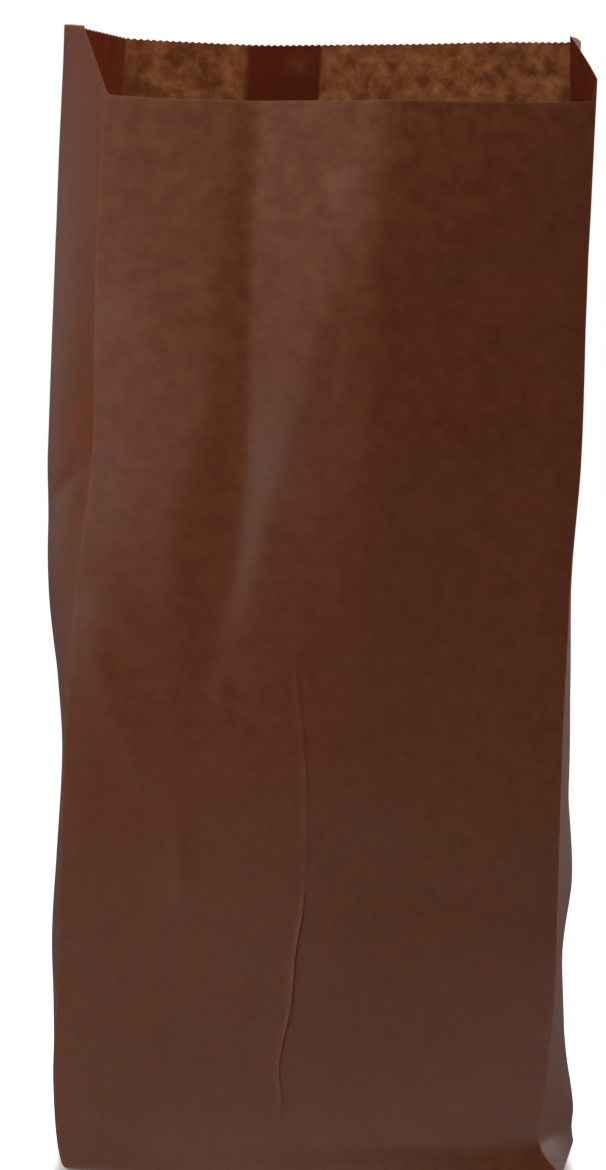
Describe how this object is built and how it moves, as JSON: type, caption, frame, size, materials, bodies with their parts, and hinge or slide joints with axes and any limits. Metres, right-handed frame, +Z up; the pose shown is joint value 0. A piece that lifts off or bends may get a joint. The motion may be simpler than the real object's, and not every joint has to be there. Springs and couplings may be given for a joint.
{
  "type": "paper bottle bag",
  "caption": "Tall brown kraft paper bag, opened and standing, with pleated side gussets, a front cut lower than its serrated back and a pasted flat base; carries a bottle.",
  "frame": {"origin": "middle of the base, on the surface that the bag stands on", "axes": "+Z up towards the mouth, -Y towards the front panel with the lower edge, +X to the right seen from the front"},
  "size_m": [0.1683, 0.096, 0.3501],
  "materials": {
    "kraft_paper": "machine-glazed brown kraft, smooth with a low sheen"
  },
  "bodies": {
    "root": {"paper_bag": "kraft_paper"}
  },
  "joints": []
}
